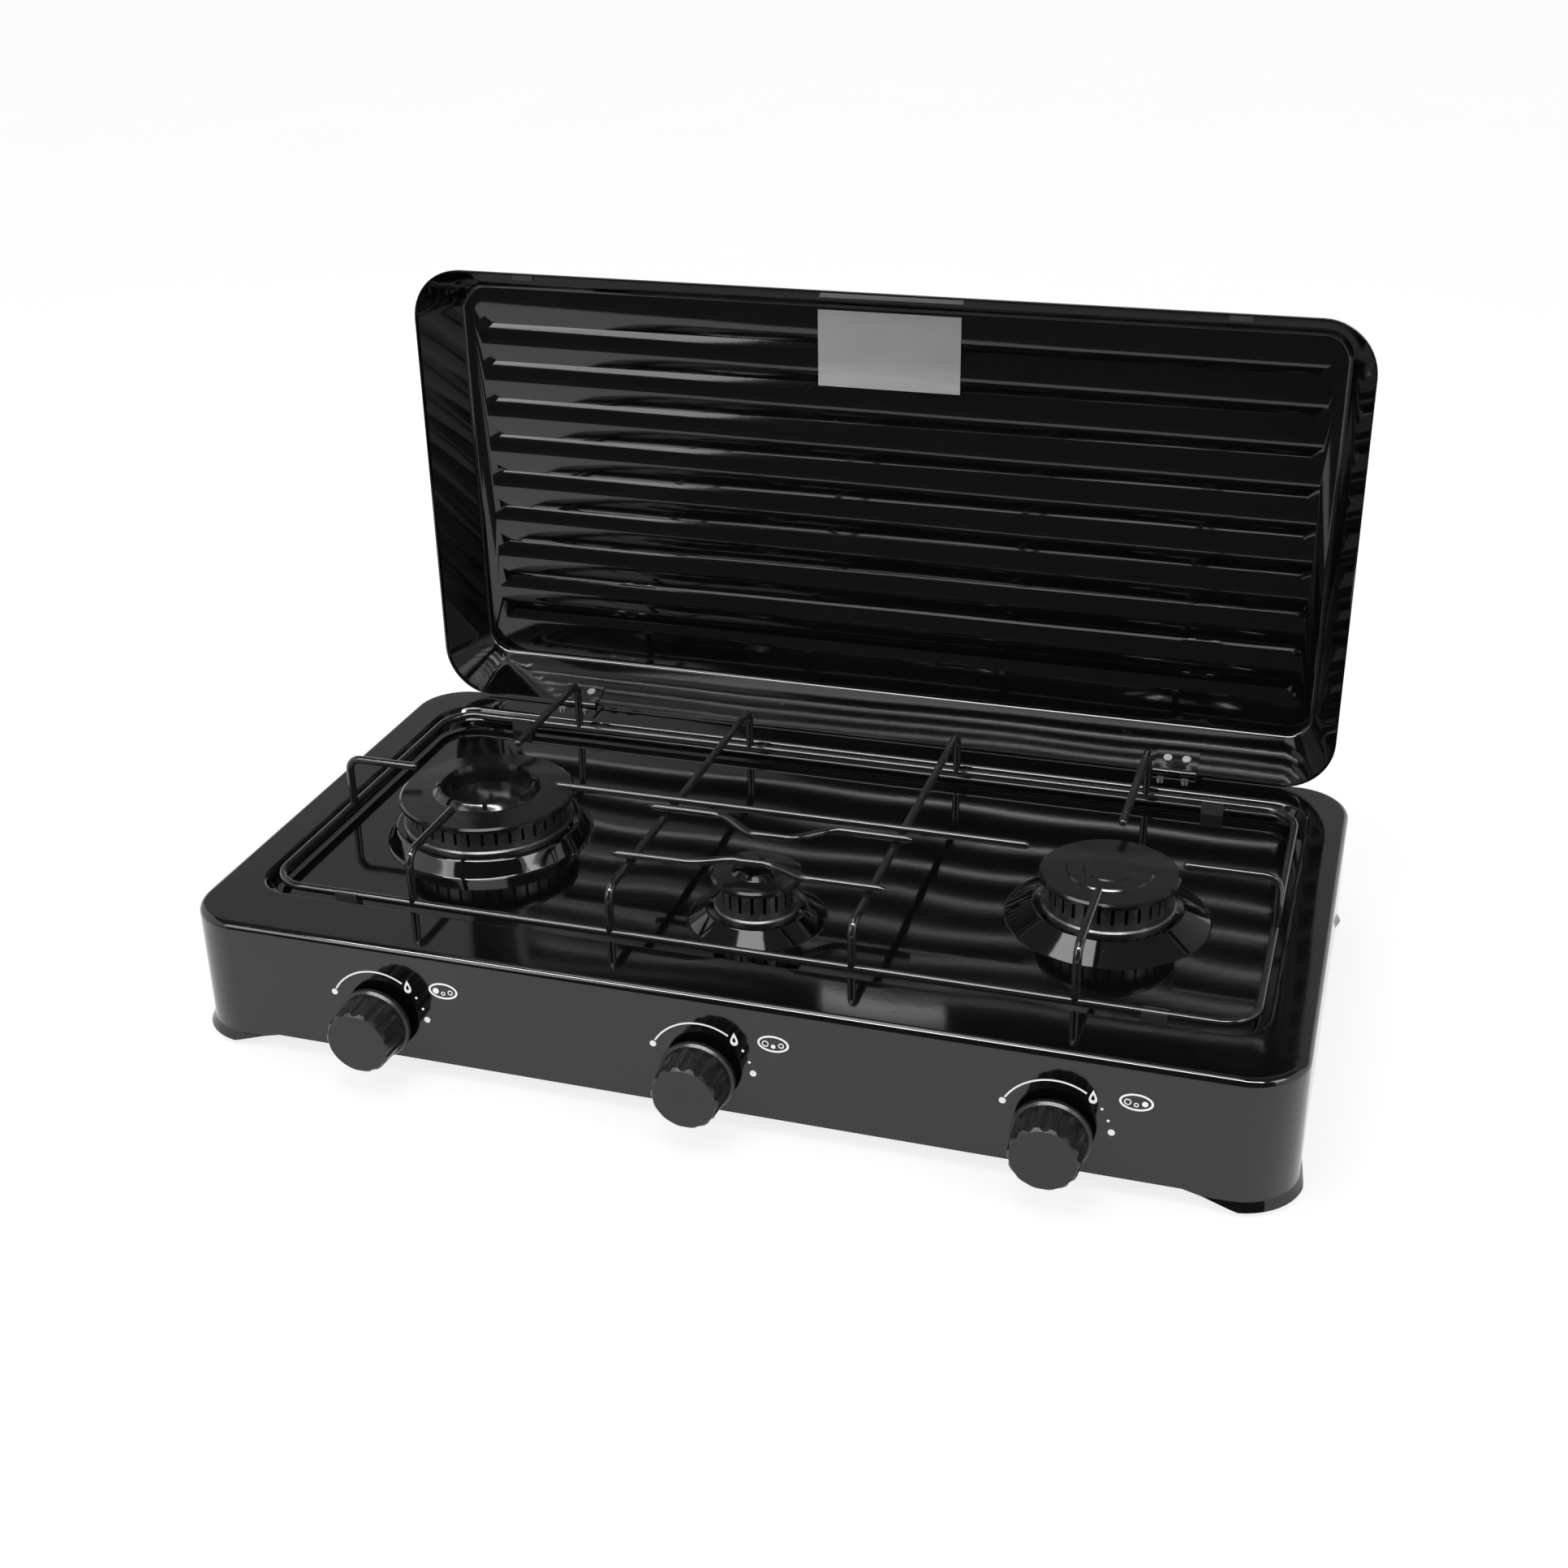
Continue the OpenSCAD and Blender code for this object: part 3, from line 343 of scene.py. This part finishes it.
def smooth_modifier():
    """Joins the sheet's facets and shades bends round, with real edges kept sharp."""
    group = bpy.data.node_groups.new("soft_bends", "GeometryNodeTree")
    for way in ("INPUT", "OUTPUT"):
        group.interface.new_socket("Geometry", in_out=way, socket_type="NodeSocketGeometry")
    f = Finish("soft_bends", group)
    solid = f.node("NodeGroupInput")
    welded = f.node("GeometryNodeMergeByDistance", sockets={"Geometry": solid, "Distance": WELD})
    bare = f.node("GeometryNodeRemoveAttribute", sockets={"Geometry": welded, "Name": "custom_normal"})
    smooth = f.node("GeometryNodeSetShadeSmooth", {"domain": "FACE"}, {"Geometry": bare})
    angle = f.node("GeometryNodeInputMeshEdgeAngle")
    gentle = f.node("FunctionNodeCompare", {"operation": "LESS_THAN"}, {0: angle, 1: SOFT_ANGLE})
    creased = f.node(
        "GeometryNodeSetShadeSmooth", {"domain": "EDGE"}, {"Geometry": smooth, "Shade Smooth": gentle}
    )
    f.node("NodeGroupOutput", sockets={0: creased})
    return group


def dress_nodes():
    soft_bends = smooth_modifier()
    slots = {s["node"]: s["material_slot"] for s in frame["record"]["subparts"]}
    for name, piece in nodes.items():
        finish = CROWN if name.endswith("_crown") else FINISHES[slots[name]]
        piece.data.materials.clear()
        piece.data.materials.append(finish)
        piece.modifiers.new("soft_bends", "NODES").node_group = soft_bends
        piece.modifiers.new("flat_faces_lead", "WEIGHTED_NORMAL").keep_sharp = True


def add_object(name, data):
    made = bpy.data.objects.new(name, data)
    bpy.context.scene.collection.objects.link(made)
    return made


def flat_mark(name, marks, at, body, finish):
    """Thin print on the front panel: rings of (right, up) points, each with its hole's ring or None."""
    shape = bmesh.new()

    def ring(points, lift):
        return [
            shape.verts.new(((at[0] + right) * MM, (PANEL_Y - lift) * MM, (at[1] + up) * MM))
            for right, up in points
        ]

    def band(first, second):
        for i in range(len(first)):
            shape.faces.new((first[i], first[i - 1], second[i - 1], second[i]))

    for outer, inner in marks:
        low, high = ring(outer, PRINT_LOW), ring(outer, PRINT_HIGH)
        band(low, high)
        if inner is None:
            shape.faces.new(high)
        else:
            low_in, high_in = ring(inner, PRINT_LOW), ring(inner, PRINT_HIGH)
            band(high, high_in)
            band(high_in, low_in)
    bmesh.ops.recalc_face_normals(shape, faces=shape.faces)
    mesh = bpy.data.meshes.new(name)
    shape.to_mesh(mesh)
    shape.free()
    mesh.materials.append(finish)
    piece = add_object(name, mesh)
    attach(piece, body)


def round_turns():
    return [2 * math.pi * i / RING_POINTS for i in range(RING_POINTS)]


def oval(centre, wide, tall):
    return [(centre[0] + wide * math.cos(t), centre[1] + tall * math.sin(t)) for t in round_turns()]


def dot(centre, radius):
    return oval(centre, radius, radius)


def polar(radius, degrees):
    return (radius * math.cos(math.radians(degrees)), radius * math.sin(math.radians(degrees)))


def arc_band(radius, width, start, end):
    turns = [start + (end - start) * i / ARC_STEPS for i in range(ARC_STEPS + 1)]
    outside = [polar(radius + width / 2, t) for t in turns]
    inside = [polar(radius - width / 2, t) for t in reversed(turns)]
    return outside + inside


def flame(centre, size):
    """Drop with its point up."""
    points = []
    for t in round_turns():
        pinch = math.sin(t / 2) ** FLAME_PINCH
        right = size * math.sin(t) * pinch
        up = FLAME_TALL * size * math.cos(t)
        points.append((centre[0] + right, centre[1] + up))
    return points


def dial_marks(side):
    """Arc, flame and dots round a knob, and a plan of the hob with the knob's own burner filled in."""
    flame_at = polar(FLAME_R, FLAME_TURN)
    hole_at = (flame_at[0], flame_at[1] - FLAME_HOLE_DROP)
    marks = [
        (arc_band(DIAL_R, ARC_WIDTH, ARC_START, ARC_END), None),
        (dot(polar(DIAL_R, OFF_TURN), BIG_DOT), None),
        (flame(flame_at, FLAME_SIZE), flame(hole_at, FLAME_HOLE)),
        *[(dot(polar(DIAL_R, turn), SMALL_DOT), None) for turn in STEP_TURNS],
        (dot(polar(LOW_R, LOW_TURN), BIG_DOT), None),
        (oval(PLAN_AT, *PLAN_OUTER), oval(PLAN_AT, *PLAN_INNER)),
    ]
    for burner, (place, radius) in PLAN_BURNERS.items():
        inner = None if burner == side else dot(place, radius - PLAN_LINE)
        marks.append((dot(place, radius), inner))
    flat_mark("dial_print_" + side, marks, (KNOB_X[side], KNOB_Z), "base", WHITE_PRINT)


def add_camera():
    """Camera of the fitted view: a little to the right, looking down on the hob."""
    turn, down, roll = (math.radians(angle) for angle in CAMERA_ANGLES)
    ahead = Vector((-math.sin(turn) * math.cos(down), math.cos(turn) * math.cos(down), -math.sin(down)))
    right = Vector((math.cos(turn), math.sin(turn), 0.0))
    below = -right.cross(ahead)
    right, below = (
        right * math.cos(roll) - below * math.sin(roll),
        right * math.sin(roll) + below * math.cos(roll),
    )
    data = bpy.data.cameras.new("camera")
    data.sensor_width = CAMERA_SENSOR
    data.lens = CAMERA_LENS
    data.clip_end = CAMERA_FAR
    camera = add_object("camera", data)
    basis = Matrix((right, -below, -ahead)).transposed().to_4x4()
    camera.matrix_world = Matrix.Translation(Vector(CAMERA_AT) * MM) @ basis
    bpy.context.scene.camera = camera


def level(left, right, front, back, height):
    """Corners of a level card."""
    return [(left, front, height), (right, front, height), (right, back, height), (left, back, height)]


def add_panel(name, corners, finish):
    mesh = bpy.data.meshes.new(name)
    mesh.from_pydata(corners, [], [(0, 1, 2, 3)])
    mesh.materials.append(finish)
    return add_object(name, mesh)


def floor_finish():
    """Pale floor that takes shadows. Camera, gloss and glass see it mixed with its own white."""
    f = Finish("pale_floor")
    camera, gloss, glass = (f.node("ShaderNodeLightPath", out=ray) for ray in SEEN_RAYS)
    seen = camera.most(gloss).most(glass)
    tone = f.blend(f.noise(scale=3.0), (0.86, 0.86, 0.86), (0.90, 0.90, 0.90))
    matt = f.node("ShaderNodeBsdfDiffuse", sockets={"Color": tone})
    glow = f.node("ShaderNodeEmission", sockets={"Color": WHITE, "Strength": 1.0})
    return f.output(f.node("ShaderNodeMixShader", sockets={0: seen * FLOOR_GLOW, 1: matt, 2: glow}))


def add_floor():
    corners = level(-FLOOR_HALF, FLOOR_HALF, -FLOOR_HALF, FLOOR_HALF, FLOOR_LOW)
    floor = add_panel("floor", corners, floor_finish())


def reflection_card_finish(name, tone):
    """Matt grey for a painted dark reflection, or a glow that paints highlights where the tone is above 1.
    """
    f = Finish(name)
    if tone > 1.0:
        return f.output(f.node("ShaderNodeEmission", sockets={"Color": WHITE, "Strength": tone}))
    return f.output(f.node("ShaderNodeBsdfDiffuse", sockets={"Color": (tone, tone, tone, 1.0)}))


def add_reflection_card(name, tone, corners):
    """Dark or glowing card of the studio that shows only in what the gloss mirrors: a dark card paints a
    dark reflection, a glowing card paints a highlight. It lights no matt surface and casts no shadow.
    """
    card = add_panel(name, corners, reflection_card_finish(name, tone))
    for ray in ("camera", "diffuse", "transmission", "shadow"):
        setattr(card, "visible_" + ray, False)


def add_reflection_cards():
    front = [(-1.75, -2.2, 0.0), (3.5, -2.2, 0.0), (3.5, -2.2, 3.4), (-0.7, -2.2, 3.4)]
    strip = [(-1.6, -1.4, 2.4), (1.6, -1.4, 2.4), (1.6, -1.1, 2.45), (-1.6, -1.1, 2.45)]
    back = [(-5.0, 3.0, 0.9), (5.0, 3.0, 0.9), (5.0, 3.0, 5.5), (-5.0, 3.0, 5.5)]
    # Dark and grey cards seen only in the gloss: painted dark reflections on the enamel, caps and collars
    add_reflection_card("floor_dark_reflection", DARK_REFLECTION_TONE, level(left=-2.5, right=2.5, front=-4.0, back=-0.48, height=0.002))
    add_reflection_card("front_dark_reflection", DARK_REFLECTION_TONE, front)
    add_reflection_card("roof_dark_reflection", 0.14, level(left=-3.0, right=3.0, front=-2.6, back=1.6, height=2.6))
    # Glowing strip seen only in the gloss: painted highlights along edges, wires and creases
    add_reflection_card("painted_highlight_strip", PAINTED_HIGHLIGHT_GLOW, strip)
    add_reflection_card("back_grey_reflection", 0.32, back)


def add_lamp(name, place, size, power):
    data = bpy.data.lights.new(name, "AREA")
    data.shape = "RECTANGLE"
    data.size, data.size_y = size
    data.energy = power
    lamp = add_object(name, data)
    lamp.location = place
    lamp.rotation_euler = (Vector(LAMP_AIM) - Vector(place)).to_track_quat("-Z", "Y").to_euler()


def add_light():
    world = bpy.data.worlds.new("studio")
    world.use_nodes = True
    bpy.context.scene.world = world
    f = Finish("studio", world.node_tree)
    white = f.node("ShaderNodeBackground", sockets={"Color": WHITE, "Strength": 1.0})
    f.node("ShaderNodeOutputWorld", sockets={"Surface": white})
    for name, lamp in LAMPS.items():
        add_lamp(name, **lamp)


dress_nodes()
for knob_side in KNOB_X:
    dial_marks(knob_side)
add_floor()
add_reflection_cards()
add_light()
add_camera()
bpy.context.scene.view_settings.view_transform = "Standard"
